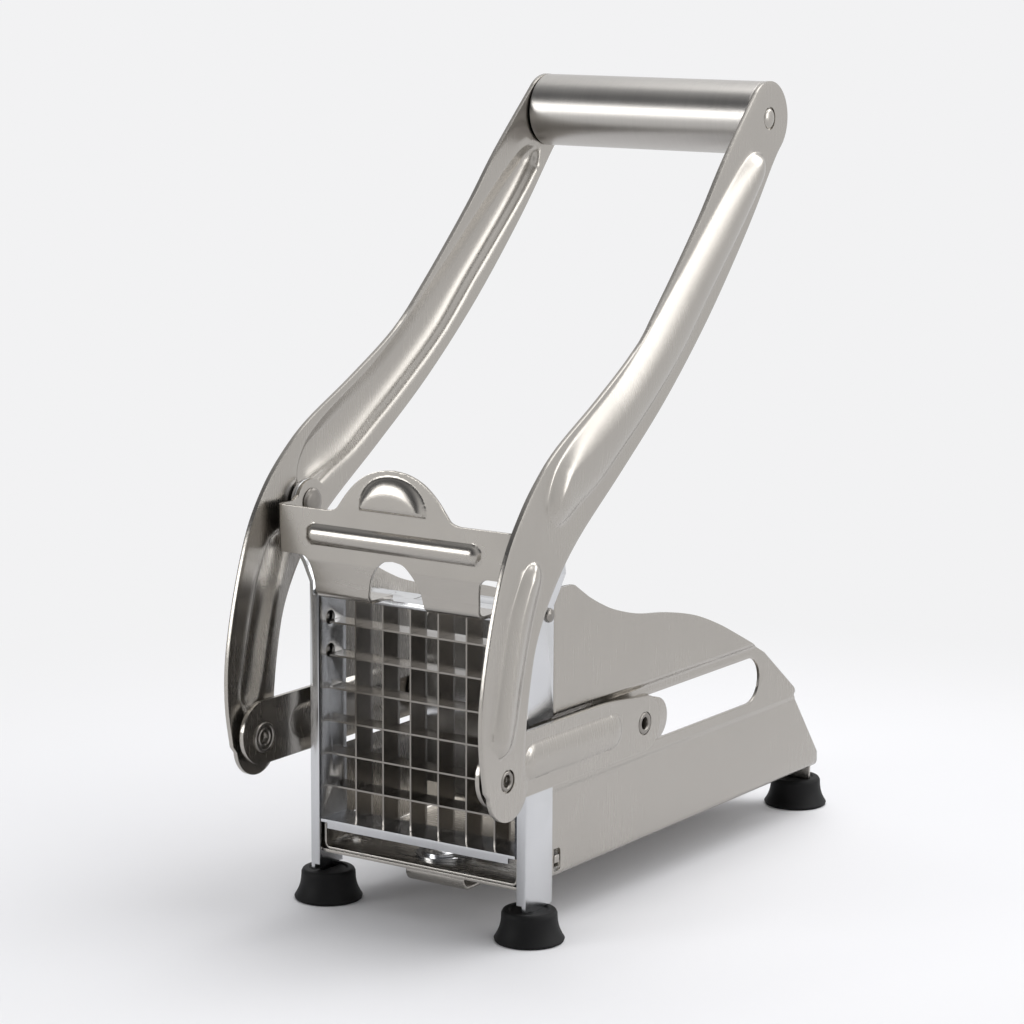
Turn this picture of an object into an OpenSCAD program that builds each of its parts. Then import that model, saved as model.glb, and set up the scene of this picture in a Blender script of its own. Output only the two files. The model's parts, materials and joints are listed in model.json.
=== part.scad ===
// French fry cutter: a lever pulls a pusher plate through a trough and
// drives a potato through a square grid of blades.
// X runs across the cutter, Y from the blades to the open rear end, Z up.

/* [Blade cartridge] */
// Width of one chip, between two blades
chip = 11; // [9:0.5:11.5]
// Blades each way
blade_count = 6; // [3:1:6]
// Thickness of a blade
blade_t = 0.6; // [0.4:0.1:0.8]
// Depth of a blade along the cut
blade_depth = 9.2; // [7:0.1:10]
// Depth of the cartridge frame along the cut
cartridge_depth = 14; // [12:0.5:15]
// Sheet thickness of the cartridge frame
cartridge_t = 1; // [0.8:0.1:1.2]

/* [Trough] */
// Length of the trough floor, from the front of the posts
trough_len = 192.6; // [180:1:200]
// Sheet thickness of the trough
trough_t = 1; // [0.8:0.1:1.1]
// Height of the underside of the floor above the table
floor_z = 17; // [15:0.5:20]
// How far the slotted band stands out from the lower wall
band_step = 0.5; // [0.3:0.1:0.5]
// How far the wing stands out from the slotted band
wing_step = 1.4; // [1:0.1:1.6]
// Height of the side slot
slot_h = 16.2; // [16:0.1:18]
// Rear end of the side slot
slot_end = 148.5; // [135:0.5:150]

/* [Posts] */
// Depth of a post, front to back
post_depth = 15.2; // [14.5:0.1:16]
// Sheet thickness of a post
post_t = 1.5; // [1.2:0.1:1.6]
// Width of the front flange of a post
post_flange = 3.5; // [2.8:0.1:3.6]
// Height at which the posts start to splay
splay_z = 107.5; // [107:0.5:109]

/* [Lever] */
// Height of the lever's fulcrum
fulcrum_z = 133; // [131:0.5:134]
// Fulcrum to the handle's axis
handle_reach = 182; // [150:1:190]
// Angle of the lever above level at rest
lever_rest = 41.7; // [36:0.1:45]
// Sheet thickness of the arms and links
arm_t = 1.5; // [1.2:0.1:1.6]
// Outer diameter of the handle tube
handle_d = 24.8; // [22:0.1:25]
// Wall of the handle tube
handle_wall = 1; // [0.8:0.1:2]
// Height of the pressed channels in the arms
arm_rib_h = 3.2; // [1.5:0.1:3.5]
// Diameter of the fulcrum pins
fulcrum_d = 6; // [5:0.1:7]

/* [Pusher and links] */
// Face of the pusher plate at rest, behind the front of the posts
pusher_y = 58.5; // [56:0.5:60]
// Sheet thickness of the pusher plate
pusher_t = 1.5; // [1:0.1:1.6]
// Diameter of the pins that carry the links
link_pin_d = 5.8; // [5:0.1:6.4]
// Height of the pressed channel in a link
link_rib_h = 1.2; // [0.8:0.1:1.3]

/* [Feet] */
// Height of a rubber foot
foot_h = 10.4; // [9:0.1:12]
// Radius of the foot where it meets the table
foot_base_r = 11.35; // [10:0.05:12]
// Radius of the foot's top
foot_top_r = 8.8; // [8:0.1:9.5]

/* [Fits] */
// Running clearance round a pin, on the radius
pin_gap = 0.05; // [0.02:0.01:0.1]
// Gap between a blade and its slot
blade_gap = 0.05; // [0.02:0.01:0.1]
// Gap between sheets that slide past or seat in each other
sheet_gap = 0.1; // [0.05:0.01:0.15]

/* [Hidden] */
$fn = 48;

steel = [0.76, 0.75, 0.73];
bright_steel = [0.86, 0.86, 0.85];
rubber = [0.05, 0.05, 0.055];
eps = 0.01;

// Cartridge
grid_half = chip * (blade_count + 1) / 2;
cartridge_half = grid_half + cartridge_t;
blade_y = cartridge_depth - blade_depth - 0.2;
cartridge_bottom = 27.6;
cartridge_top = cartridge_bottom + 2 * cartridge_half - 1.4;
grid_z = (cartridge_bottom + cartridge_top) / 2;
lip_drop = 1.9;
tab_half = 2.5;

// Trough walls, from the inside of the lower wall outwards
wall_in = cartridge_half + sheet_gap;
wall_out = wall_in + trough_t;
band_out = wall_out + band_step;
wing_out = band_out + wing_step;
crease_low = 46.5;
crease_high = 71;
bend_r = 2.5;
slot_r = slot_h / 2;
slot_z = 58.7;
slot_front = 7;

// Posts
post_in = band_out + sheet_gap / 2;
post_out = post_in + post_t;
post_rear = post_depth;
ear_z = fulcrum_z;
ear_y = 4.5;
ear_r = 7.5;
ear_out = post_out + 5.2;
splay_top = splay_z + 11;
rivet_y = post_depth - 2.5;
rivet_z = splay_z - 2.8;
leg_bottom = foot_h + 0.2;
tongue = 7;

// Lever arms
arm_in = ear_out + 0.8;
arm_out = arm_in + arm_t;
arm_bend = -8;
stud_depth = arm_t - 0.6;
handle_half = 43.85;
lean = asin((arm_in - handle_half - 0.35) / (handle_reach - arm_bend));
pivot = [-68, -37.85];
eyelet_r = 2.6;

// Links and pusher
link_in = post_out + 2.6;
link_out = link_in + arm_t;
link_y = pusher_y + 5.1;
link_z = 60.1;
link_front = [-21.1, 59.5];
link_pin_r = link_pin_d / 2;
runner_r = 7.2;
runner_z = 59.2;
runner_front = pusher_y + 5.8;
runner_rear = pusher_y + 15.7;
runner_out = link_in - 0.85;
pusher_half = wall_in - 0.45;
pusher_top = 94.4;
pusher_bottom = 24;

// Feet
foot_x = post_in - 1;
foot_y = 6;
rear_foot_x = 28.9;
rear_foot_y = trough_len + 5.4;

// Channel and clip under the front of the floor
channel_half = cartridge_half - 0.9;
channel_depth = 13.4;
channel_floor = floor_z + trough_t + sheet_gap;
channel_top = cartridge_bottom - sheet_gap;
clip_half = 11.4;
clip_t = 1.1;
clip_y = 16.7;
clip_rivet_r = 2.5;

// Clamp
clamp_t = 1.2;
clamp_front = -12.5;
clamp_half = ear_out - post_t - 0.2;
band_low = 119.3;
band_high = 134.7;

// ---- outlines and sweeps ----

function arc(c, r, a0, a1, n = 8) =
    [for (i = [0:n]) let (a = a0 + (a1 - a0) * i / n) c + r * [cos(a), sin(a)]];

function reversed(p) = [for (i = [len(p) - 1:-1:0]) p[i]];

function mirrored(p) = [for (q = p) [-q[0], q[1]]];

function unit(v) = v / norm(v);

function left_of(v) = [-v[1], v[0]];

// A path moved sideways by d, to the left of its direction
function beside(p, d) = [
    for (i = [0:len(p) - 1])
        let (
            a = i > 0 ? left_of(unit(p[i] - p[i - 1])) : left_of(unit(p[1] - p[0])),
            b = i < len(p) - 1 ? left_of(unit(p[i + 1] - p[i])) : a
        )
        p[i] + d * (a + b) / (1 + a * b)
];

function folded(p, t) = concat(p, reversed(beside(p, t)));

// A smooth curve through the points, n steps to a span
function smooth(p, n = 4) = concat(
    [
        for (i = [0:len(p) - 2], j = [0:n - 1])
            let (
                t = j / n,
                a = p[max(i - 1, 0)], b = p[i], c = p[i + 1], d = p[min(i + 2, len(p) - 1)]
            )
            (2 * b + (c - a) * t + (2 * a - 5 * b + 4 * c - d) * t * t
                + (3 * b - a - 3 * c + d) * t * t * t) / 2
    ],
    [p[len(p) - 1]]
);

module placed() { translate([0, -origin_y, 0]) children(); }

// side is 1 on the right and -1 on the left
module on_side(side) { mirror([side < 0 ? 1 : 0, 0, 0]) children(); }

// An outline in Y and Z, drawn out along X
module along_x(x0, x1) {
    translate([x0, 0, 0]) rotate([90, 0, 90]) linear_extrude(x1 - x0) children();
}

// An outline in X and Z, drawn out along Y
module along_y(y0, y1) {
    translate([0, y1, 0]) rotate([90, 0, 0]) linear_extrude(y1 - y0) children();
}

module pin_x(y, z, r, x0, x1) {
    translate([x0, y, z]) rotate([0, 90, 0]) cylinder(h = x1 - x0, r = r);
}

// A turned piece on an axis along X, from its outline of [distance along X, radius]
module turned_x(y, z, outline) {
    translate([0, y, z]) rotate([0, 90, 0]) rotate_extrude() polygon([for (p = outline) [p[1], p[0]]]);
}

// A pressed rib with round ends. Each point of the path is [along, across, half width],
// and the rib rises by h along Z from a root below the surface.
module rib(path, h, root = 0.5) {
    ring = 8;
    cap = 4;
    last = len(path) - 1;
    function at(i) = [path[i][0], path[i][1]];
    function dir(i) = unit(at(min(i + 1, last)) - at(max(i - 1, 0)));
    function station(c, d, w, k) = [
        for (j = [-1:ring + 1])
            let (b = 180 * max(0, min(ring, j)) / ring, q = c + left_of(d) * w * cos(b))
            [q[0], q[1], (j < 0 || j > ring) ? -root : k * h * sin(b)]
    ];
    rings = concat(
        [
            for (k = [1:cap])
                let (a = 90 * (k - 0.5) / cap)
                station(at(0) - dir(0) * path[0][2] * cos(a), dir(0), path[0][2] * sin(a), sin(a))
        ],
        [for (i = [0:last]) station(at(i), dir(i), path[i][2], 1)],
        [
            for (k = [cap:-1:1])
                let (a = 90 * (k - 0.5) / cap)
                station(at(last) + dir(last) * path[last][2] * cos(a), dir(last), path[last][2] * sin(a), sin(a))
        ]
    );
    m = ring + 3;
    n = len(rings);
    polyhedron(
        points = [for (r = rings, p = r) p],
        faces = concat(
            [[for (j = [0:m - 1]) j]],
            [[for (j = [m - 1:-1:0]) (n - 1) * m + j]],
            [for (i = [0:n - 2], j = [0:m - 1]) [i * m + j, (i + 1) * m + j, i * m + (j + 1) % m]],
            [for (i = [0:n - 2], j = [0:m - 1]) [i * m + (j + 1) % m, (i + 1) * m + j, (i + 1) * m + (j + 1) % m]]
        )
    );
}

// The same rib on a sheet that stands along Y and Z, rising along X from x
module rib_x(path, h, x) {
    translate([x, 0, 0]) rotate([90, 0, 90]) rib(path, h);
}

function narrower(path, d) = [for (p = path) [p[0], p[1], p[2] - d]];

// ---- trough ----

// Outside of one wall of the trough, from the floor up
wall_path = concat(
    arc([wall_out - bend_r, floor_z + bend_r], bend_r, -90, 0, 6),
    [[wall_out, crease_low - band_step], [band_out, crease_low + band_step]]
);
wing_path = [[band_out, crease_high - wing_step], [wing_out, crease_high + wing_step * 0.8], [wing_out, 130]];

function both_walls(half) = concat(reversed(mirrored(half)), half);

wing_edge = [
    [151.7, 67], [143, 71.4], [130.6, 77.4], [117.1, 83.6], [101.2, 89.4], [83.3, 93.4], [65.9, 96],
    [51.3, 99.9], [42.2, 103.6], [35.9, 106.7]
];
wing_start = post_depth + 0.2;
wing_peak = 112.4;

module wall_side() {
    polygon(concat(
        [[wing_start - 0.1, 0]],
        [[trough_len - 0.1, 0]],
        arc([trough_len - 1.6, floor_z + 2.6], 3, -60, 37, 6),
        [[174.6, 46.2], [173.4, 47.6], [174.2, 48.4], [173.4, 50.2]],
        smooth(wing_edge, 3),
        arc([25.3, wing_peak - 5], 5, 62, 90, 4),
        [[wing_start - 0.1, wing_peak]]
    ));
}

module side_slot() {
    for (y = [slot_front + slot_r, slot_end - slot_r]) translate([y, slot_z]) circle(slot_r);
    translate([slot_front + slot_r, slot_z - slot_r]) square([slot_end - slot_front - 2 * slot_r, slot_h]);
}

// The floor runs out at the back into two tongues that turn down into the rear feet.
module rear_tongue() {
    path = concat(
        [[trough_len - 12, floor_z], [rear_foot_y - 2.4, floor_z]],
        [[rear_foot_y - 0.9, floor_z - 1.5], [rear_foot_y - 0.9, foot_h - tongue]]
    );
    along_x(rear_foot_x - 6, rear_foot_x + 6) polygon(folded(path, trough_t));
}

module trough() color(steel) placed() {
    difference() {
        union() {
            intersection() {
                along_y(wing_start, trough_len + 2)
                    polygon(folded(both_walls(concat(wall_path, wing_path)), trough_t));
                along_x(-60, 60) wall_side();
            }
            along_y(post_t + 0.2, wing_start + eps)
                polygon(folded(both_walls(concat(wall_path, [[band_out, wing_peak - 4]])), trough_t));
            for (side = [-1, 1]) on_side(side) {
                translate([band_out - trough_t, wing_start - trough_t + 0.8, crease_high])
                    cube([wing_step + trough_t, trough_t, wing_peak - crease_high - 2]);
                rear_tongue();
            }
        }
        along_x(-60, 60) side_slot();
        for (side = [-1, 1]) on_side(side) {
            translate([wall_in - 2, 18.4, 19.2]) cube([6, 4.6, 7.6]);
            pin_x(rivet_y, rivet_z, 1.6, wall_in - 1, band_out + 1);
        }
        translate([0, clip_y, floor_z - 1]) cylinder(h = 4, r = clip_rivet_r + pin_gap);
    }
}

// ---- posts ----

module post_side_outline() {
    difference() {
        union() {
            translate([0, leg_bottom]) square([post_depth, splay_z + 1 - leg_bottom]);
            polygon([
                [0, splay_z], [post_depth, splay_z], [post_depth, splay_z + 3],
                [ear_y + ear_r, ear_z], [ear_y - ear_r, ear_z], [0, splay_z + 6]
            ]);
            translate([ear_y, ear_z]) circle(ear_r);
            translate([3.5, leg_bottom - tongue]) square([8, tongue + 1]);
        }
        translate([post_t, 49.5]) square([post_depth, crease_high + 0.3 - 49.5]);
    }
}

module post(side) color(bright_steel) placed() on_side(side) {
    splay = [
        [post_out, leg_bottom - tongue - 1], [post_out, splay_z], [ear_out, splay_top], [ear_out, ear_z + ear_r + 1]
    ];
    difference() {
        union() {
            intersection() {
                along_y(-5, post_depth + 1) polygon(folded(splay, post_t));
                along_x(0, 60) post_side_outline();
            }
            translate([post_out - post_flange, 0, leg_bottom + 2])
                cube([post_flange, post_t, splay_z - leg_bottom - 6]);
        }
        pin_x(ear_y, ear_z, fulcrum_d / 2, post_in, arm_out);
        pin_x(rivet_y, rivet_z, 1.6, post_in - 1, ear_out);
    }
}

module post_left() { post(-1); }
module post_right() { post(1); }

module frame_rivets() color(bright_steel) placed() for (side = [-1, 1]) on_side(side)
    turned_x(rivet_y, rivet_z, concat(
        [[wall_in + 0.05, 0], [wall_in + 0.05, 2.2], [band_out - trough_t - eps, 2.2]],
        [[band_out - trough_t - eps, 1.6 - eps], [post_out + 0.02, 1.6 - eps], [post_out + 0.02, 2.3]],
        [[post_out + 0.5, 2.1], [post_out + 0.9, 1.2], [post_out + 1, 0]]
    ));

// ---- base ----

module base_channel() color(steel) placed() {
    half = concat(
        arc([channel_half - bend_r, channel_floor + bend_r], bend_r, -90, 0, 6),
        arc([channel_half - 1.2, channel_top - 1.2], 1.2, 0, 90, 4),
        [[channel_half - 4, channel_top]]
    );
    difference() {
        union() {
            along_y(post_t + 0.3, channel_depth) polygon(folded(both_walls(half), 0.9));
            translate([-channel_half + bend_r + 2, channel_depth - 1, channel_floor])
                cube([2 * channel_half - 2 * bend_r - 4, 20, 0.9]);
            for (side = [-1, 1]) on_side(side) {
                translate([channel_half - 0.9, channel_depth - 1, 21.6]) cube([0.9, 23.2 - channel_depth, 3.4]);
                translate([channel_half - 0.9, 19.4, 22]) cube([wall_out - channel_half + 1.1, 2.8, 2.6]);
            }
        }
        translate([0, clip_y, channel_floor - 1]) cylinder(h = 4, r = clip_rivet_r + pin_gap);
    }
}

// A hook of strip steel under the floor: the top leaf is riveted up, the front turns under.
module base_clip() color(steel) placed() {
    bend = 3.6;
    top = floor_z - 0.1;
    path = concat(
        [[24, top]],
        arc([13.6, top - bend], bend, 90, 270, 12),
        [[19, top - 2 * bend], [24.5, top - 2 * bend + 1.2]]
    );
    difference() {
        along_x(-clip_half, clip_half) polygon(folded(path, clip_t));
        translate([0, clip_y, top - 3]) cylinder(h = 4, r = clip_rivet_r + pin_gap);
    }
}

module clip_rivet() color(bright_steel) placed() translate([0, clip_y, 0]) rotate_extrude() {
    top = channel_floor + 0.9;
    low = floor_z - 0.1 - clip_t;
    polygon(concat(
        [[0, low - 1.2], [3.4, low - 1.2], [4, low - 0.05], [clip_rivet_r, low - 0.05]],
        [[clip_rivet_r, top + 0.05], [9.8, top + 0.05], [9.8, top + 0.9], [7.6, top + 0.9], [7.6, top + 1.7]],
        [for (i = [0:5]) let (a = 15 * i) [5.4 * cos(a) + 0.2, top + 1.7 + 1.2 * sin(a)]],
        [[0, top + 2.9]]
    ));
}

// ---- feet ----

module foot(x, y, slot_x, slot_y, slot_w, slot_d) color(rubber) placed() difference() {
    flare = foot_base_r - foot_top_r;
    translate([x, y, 0]) rotate_extrude() polygon(concat(
        [[0, 2.2], [foot_base_r - 3.4, 1.1], [foot_base_r - 2.6, 0], [foot_base_r - 0.7, 0], [foot_base_r, 1]],
        [for (i = [1:8]) let (t = i / 8) [foot_top_r + 0.2 + (flare - 0.2) * pow(1 - t, 2.4), 1 + (foot_h - 2.2) * t]],
        arc([foot_top_r - 1, foot_h - 1], 1, 15, 90, 4),
        [[foot_top_r - 2.2, foot_h], [foot_top_r - 2.8, foot_h - 0.5], [0, foot_h - 0.5]]
    ));
    translate([slot_x - slot_w / 2 - sheet_gap, slot_y - slot_d / 2 - sheet_gap, foot_h - tongue - 0.1])
        cube([slot_w + 2 * sheet_gap, slot_d + 2 * sheet_gap, tongue + 1]);
}

module front_foot(side) { on_side(side) foot(foot_x, foot_y, post_in + post_t / 2, 7.5, post_t, 8); }
module rear_foot(side) {
    on_side(side) foot(rear_foot_x, rear_foot_y, rear_foot_x, rear_foot_y - 0.9 + trough_t / 2, 12, trough_t);
}
module foot_front_left() { front_foot(-1); }
module foot_front_right() { front_foot(1); }
module foot_rear_left() { rear_foot(-1); }
module foot_rear_right() { rear_foot(1); }

// ---- blade cartridge ----

function blade_at(i) = (i - (blade_count + 1) / 2) * chip;

module cartridge_frame() color(bright_steel) placed() difference() {
    union() {
        along_y(0, cartridge_depth) difference() {
            translate([-cartridge_half, cartridge_bottom]) square([2 * cartridge_half, cartridge_top - cartridge_bottom]);
            translate([-grid_half, cartridge_bottom + cartridge_t])
                square([2 * grid_half, cartridge_top - cartridge_bottom - 2 * cartridge_t]);
        }
        translate([-cartridge_half + 3.6, 0, cartridge_bottom - lip_drop])
            cube([2 * cartridge_half - 7.2, cartridge_t, lip_drop + eps]);
        translate([0, 1, cartridge_top - 1.1]) rotate([0, 90, 0])
            cylinder(h = 2 * grid_half, r = 1.1, center = true);
    }
    for (i = [1:blade_count]) {
        for (z = [cartridge_bottom, cartridge_top])
            translate([blade_at(i) - blade_t / 2 - blade_gap, blade_y + 2, z - 2])
                cube([blade_t + 2 * blade_gap, 2 * tab_half + 0.3, 4]);
        for (x = [-cartridge_half, cartridge_half])
            translate([x - 2, blade_y + 2, grid_z + blade_at(i) - blade_t / 2 - blade_gap])
                cube([4, 2 * tab_half + 0.3, blade_t + 2 * blade_gap]);
    }
    for (z = [84.3, 95.3]) pin_x(5.6, z, 2.4, -60, 60);
    for (side = [-1, 1]) on_side(side) translate([grid_half + eps, -1, cartridge_bottom - 5])
        cube([5, post_t + sheet_gap + 1, 100]);
}

// Side view of a blade: a strip with a ground rear edge, notched halfway at each crossing
module blade_section() {
    polygon([
        [blade_y, -blade_t / 2], [blade_y + blade_depth - 1.4, -blade_t / 2], [blade_y + blade_depth, -0.05],
        [blade_y + blade_depth, 0.05], [blade_y + blade_depth - 1.4, blade_t / 2], [blade_y, blade_t / 2]
    ]);
}

module notches(from_front, span) {
    mid = blade_y + blade_depth / 2;
    for (i = [1:blade_count])
        translate([blade_at(i) - blade_t / 2 - blade_gap, from_front ? blade_y - 1 : mid - 0.05, -span])
            cube([blade_t + 2 * blade_gap, from_front ? mid - blade_y + 1.05 : blade_depth, 2 * span]);
}

module vertical_blades() color(bright_steel) placed() {
    inside = cartridge_top - cartridge_bottom - 2 * cartridge_t - 0.1;
    for (i = [1:blade_count]) translate([blade_at(i), 0, grid_z]) {
        difference() {
            translate([0, 0, -inside / 2]) linear_extrude(inside) rotate(0) mirror([1, -1]) blade_section();
            rotate([0, 90, 0]) notches(true, blade_t);
        }
        for (z = [-1, 1])
            translate([-blade_t / 2, blade_y + 2.15, z * (inside / 2 + cartridge_t / 2 - 0.1) - cartridge_t / 2])
                cube([blade_t, 2 * tab_half, cartridge_t]);
    }
}

module horizontal_blades() color(bright_steel) placed() {
    inside = 2 * grid_half - 0.1;
    for (i = [1:blade_count]) translate([0, 0, grid_z + blade_at(i)]) {
        difference() {
            translate([-inside / 2, 0, 0]) rotate([90, 0, 90]) linear_extrude(inside) blade_section();
            notches(false, blade_t);
        }
        for (x = [-1, 1])
            translate([x * (inside / 2 + cartridge_t / 2 - 0.1) - cartridge_t / 2, blade_y + 2.15, -blade_t / 2])
                cube([cartridge_t, 2 * tab_half, blade_t]);
    }
}

// ---- fulcrum pins and clamp ----

// Studs fixed in the arms. They turn in the ears of the posts and carry the clamp inside them.
module fulcrum_pins() color(bright_steel) placed() for (side = [-1, 1]) on_side(side) {
    r = fulcrum_d / 2;
    head = clamp_half - clamp_t - 0.1;
    collar = arm_in - (5 - arm_bend) * sin(lean) - 0.02;
    turned_x(ear_y, ear_z, [
        [head - 1.1, 0], [head - 1.1, 3.9], [head - 0.7, 4.6], [head, 4.6], [head, r - pin_gap],
        [ear_out + 0.1, r - pin_gap], [ear_out + 0.1, 5], [collar, 5], [collar, r - eps],
        [arm_in + stud_depth - eps, r - eps], [arm_in + stud_depth - eps, 0]
    ]);
}

// Right half of the plate seen from the front: thumb tab, band, hook and half of the arch
clamp_edge = concat(
    smooth([
        for (p = [
            [0, 15.1], [5.5, 14.4], [10.6, 12.5], [14.5, 9.8], [17.8, 6.5], [20.3, 3.3], [22.4, 0.9], [25.5, 0]
        ]) [p[0], band_high + p[1]]
    ], 3),
    [[clamp_half + 1, band_high], [clamp_half + 1, band_low]],
    smooth([for (p = [[35.8, 0], [33.7, -1], [32.7, -3.3], [31.9, -8.3], [31.4, -20]]) [p[0], band_low + p[1]]], 2),
    smooth([
        for (p = [
            [11, -20], [10.6, -10.3], [9.6, -6.3], [8.3, -3.7], [6.5, -1.2], [3.8, 0.9], [0, 1.6]
        ]) [p[0], band_low + p[1]]
    ], 2)
);

module clamp_front_outline() {
    polygon(clamp_edge);
    mirror([1, 0]) polygon(clamp_edge);
    translate([-1, band_low + 1.7]) square([2, band_high - band_low + 13]);
}

module clamp_side_outline() {
    back = clamp_front + clamp_t;
    polygon([
        [back, band_low], [-6, band_low + 0.4], [ear_y + 3, ear_z - ear_r + 0.6], [ear_y, ear_z + ear_r],
        [-2, band_high + 1.5], [-5, band_high], [back, band_high]
    ]);
    translate([ear_y, ear_z]) circle(ear_r);
}

module clamp_plate() color(steel) placed() {
    corner = 2.2;
    bow = concat(
        [[-clamp_half, ear_y + ear_r + 1]],
        arc([-clamp_half + corner, clamp_front + corner], corner, 180, 270, 6),
        arc([clamp_half - corner, clamp_front + corner], corner, 270, 360, 6),
        [[clamp_half, ear_y + ear_r + 1]]
    );
    leg = concat(
        [[clamp_front, band_low + 1], [clamp_front, 118], [-11, 110.5]],
        arc([-7.4, 108.9], 3.5, 200, 270, 6),
        [[2.6, 105.4]]
    );
    moon_r = 34;
    moon_h = 2.4;
    ridge_z = (band_low + band_high) / 2 - 0.6;
    difference() {
        union() {
            intersection() {
                translate([0, 0, band_low]) linear_extrude(40) polygon(folded(bow, clamp_t));
                union() {
                    along_y(-30, clamp_front + clamp_t + 0.1) clamp_front_outline();
                    along_x(-60, 60) clamp_side_outline();
                }
            }
            intersection() {
                along_x(-38, 38) polygon(folded(leg, clamp_t));
                along_y(-30, 30) clamp_front_outline();
            }
            translate([0, clamp_front, ridge_z]) rotate([90, 0, 0]) rib([for (x = [-30.6, 0, 30.6]) [x, 0, 3.3]], 2.1);
            intersection() {
                translate([0, clamp_front + moon_r - moon_h, band_high + 0.7]) sphere(moon_r);
                translate([-20, clamp_front - 10, band_high + 1.4]) cube([40, 10.5, 20]);
            }
        }
        translate([0, clamp_front + clamp_t, ridge_z]) rotate([90, 0, 0])
            rib([for (x = [-30.6, 0, 30.6]) [x, 0, 2.7]], 2.1);
        intersection() {
            translate([0, clamp_front + moon_r - moon_h, band_high + 0.7]) sphere(moon_r - clamp_t);
            translate([-20, clamp_front - 10, band_high + 2.5]) cube([40, 20, 20]);
        }
        for (side = [-1, 1]) on_side(side) pin_x(ear_y, ear_z, fulcrum_d / 2, 30, 60);
    }
}

// ---- lever ----

// Both edges of an arm, as [along the lever, across it] from the fulcrum
arm_front = [
    [182, 12.5], [151, 10.7], [126, 7.7], [93, 5.7], [71, 5.9], [45, 11.1], [20, 17.4], [5, 18.9],
    [-9, 18], [-24, 14], [-41.8, 4.4], [-59.1, -8], [-70, -19.5], [-77.6, -31.5]
];
arm_rear = [
    [-61, -44.5], [-53.5, -36], [-41.7, -26], [-28.6, -17.6], [-11.8, -12.7], [7.7, -11.9],
    [39.3, -15.9], [72.6, -19.4], [109, -19.9], [146.4, -17.1], [174, -13], [182, -12.5]
];
arm_tip = [-69.3, -40.3];

// The pressed channels, as [along, across, half width]
upper_rib = [
    [162.3, -4.2, 7.2], [150, -4.2, 7.8], [134, -5.1, 8.4], [117, -5.4, 8.9], [94, -5.4, 9.4],
    [72, -4.5, 9.4], [47, -0.8, 9.7], [28, 3.4, 10], [18, 5, 9.4], [12.5, 5.2, 8.6]
];
lower_rib = [
    [-19.6, -0.9, 5.2], [-28, -4.9, 5.7], [-38, -10.6, 5.9], [-48, -17.4, 5.9], [-55, -22.6, 5.6],
    [-58.8, -25.6, 5.2]
];

function stretched(p) = [for (q = p) [q[0] > 0 ? q[0] * handle_reach / 182 : q[0], q[1]]];
function stretched_rib(p) = [for (q = p) [q[0] > 0 ? q[0] * handle_reach / 182 : q[0], q[1], q[2]]];

// The part's origin lies on the table, halfway between the front of the arms and the rear feet.
arm_foremost = min([
    for (p = concat(smooth(stretched(arm_front), 3), smooth(stretched(arm_rear), 3)))
        ear_y + p[0] * cos(lever_rest) - p[1] * sin(lever_rest)
]);
origin_y = (rear_foot_y + foot_base_r + arm_foremost) / 2;

module arm_outline() {
    polygon(concat(
        smooth(stretched(arm_front), 3),
        arc(arm_tip, 10.3, 138, 331, 12),
        smooth(stretched(arm_rear), 3)
    ));
    translate([handle_reach, 0]) circle(12.5);
}

high_rib = smooth(stretched_rib(upper_rib), 2);
low_rib = smooth(lower_rib, 2);

module lever_frame() {
    translate([0, ear_y, ear_z]) rotate([lever_rest, 0, 0]) children();
}

// The arm is flat up to just below the fulcrum, and leans in from there to the handle.
module leaning() {
    translate([arm_in, arm_bend, 0]) rotate([0, 0, lean]) translate([0, -arm_bend, 0]) children();
}

module arm(side) color(steel) placed() on_side(side) lever_frame() difference() {
    sheet = [
        [arm_in, -120], [arm_in, arm_bend],
        [arm_in - (handle_reach + 30 - arm_bend) * sin(lean), handle_reach + 30]
    ];
    union() {
        intersection() {
            along_x(0, 80) arm_outline();
            translate([0, 0, -60]) linear_extrude(120) polygon(folded(sheet, -arm_t));
        }
        translate([arm_in, 0, 0]) rib_x(low_rib, arm_rib_h * 0.8, arm_t);
        leaning() rib_x(high_rib, arm_rib_h, arm_t);
    }
    translate([arm_in, 0, 0]) rib_x(narrower(low_rib, 0.7), arm_rib_h * 0.8, 0);
    leaning() rib_x(narrower(high_rib, 0.7), arm_rib_h, 0);
    pin_x(0, 0, fulcrum_d / 2, 0, arm_in + stud_depth);
    pin_x(pivot[0], pivot[1], eyelet_r, 0, 100);
    pin_x(pivot[0], pivot[1], 3.6, arm_out - 0.7, 100);
    pin_x(handle_reach, 0, 2.6, 0, 80);
    pin_x(handle_reach, 0, 3.9, handle_half + 0.35 + arm_t - 0.6, 80);
}

module arm_left() { arm(-1); }
module arm_right() { arm(1); }

module handle_tube() color(bright_steel) placed() lever_frame() difference() {
    pin_x(handle_reach, 0, handle_d / 2, -handle_half, handle_half);
    pin_x(handle_reach, 0, handle_d / 2 - handle_wall, -handle_half - 1, handle_half + 1);
}

module handle_plugs() color(bright_steel) placed() for (side = [-1, 1]) on_side(side) lever_frame()
    turned_x(handle_reach, 0, [
        [handle_half - 9, handle_d / 2 - handle_wall - 1.2], [handle_half - 9, handle_d / 2 - handle_wall - eps],
        [handle_half - 0.3, handle_d / 2 - handle_wall - eps], [handle_half - 0.3, 2.6],
        [handle_half - 2.3, 2.6], [handle_half - 2.3, handle_d / 2 - handle_wall - 1.2]
    ]);

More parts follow.
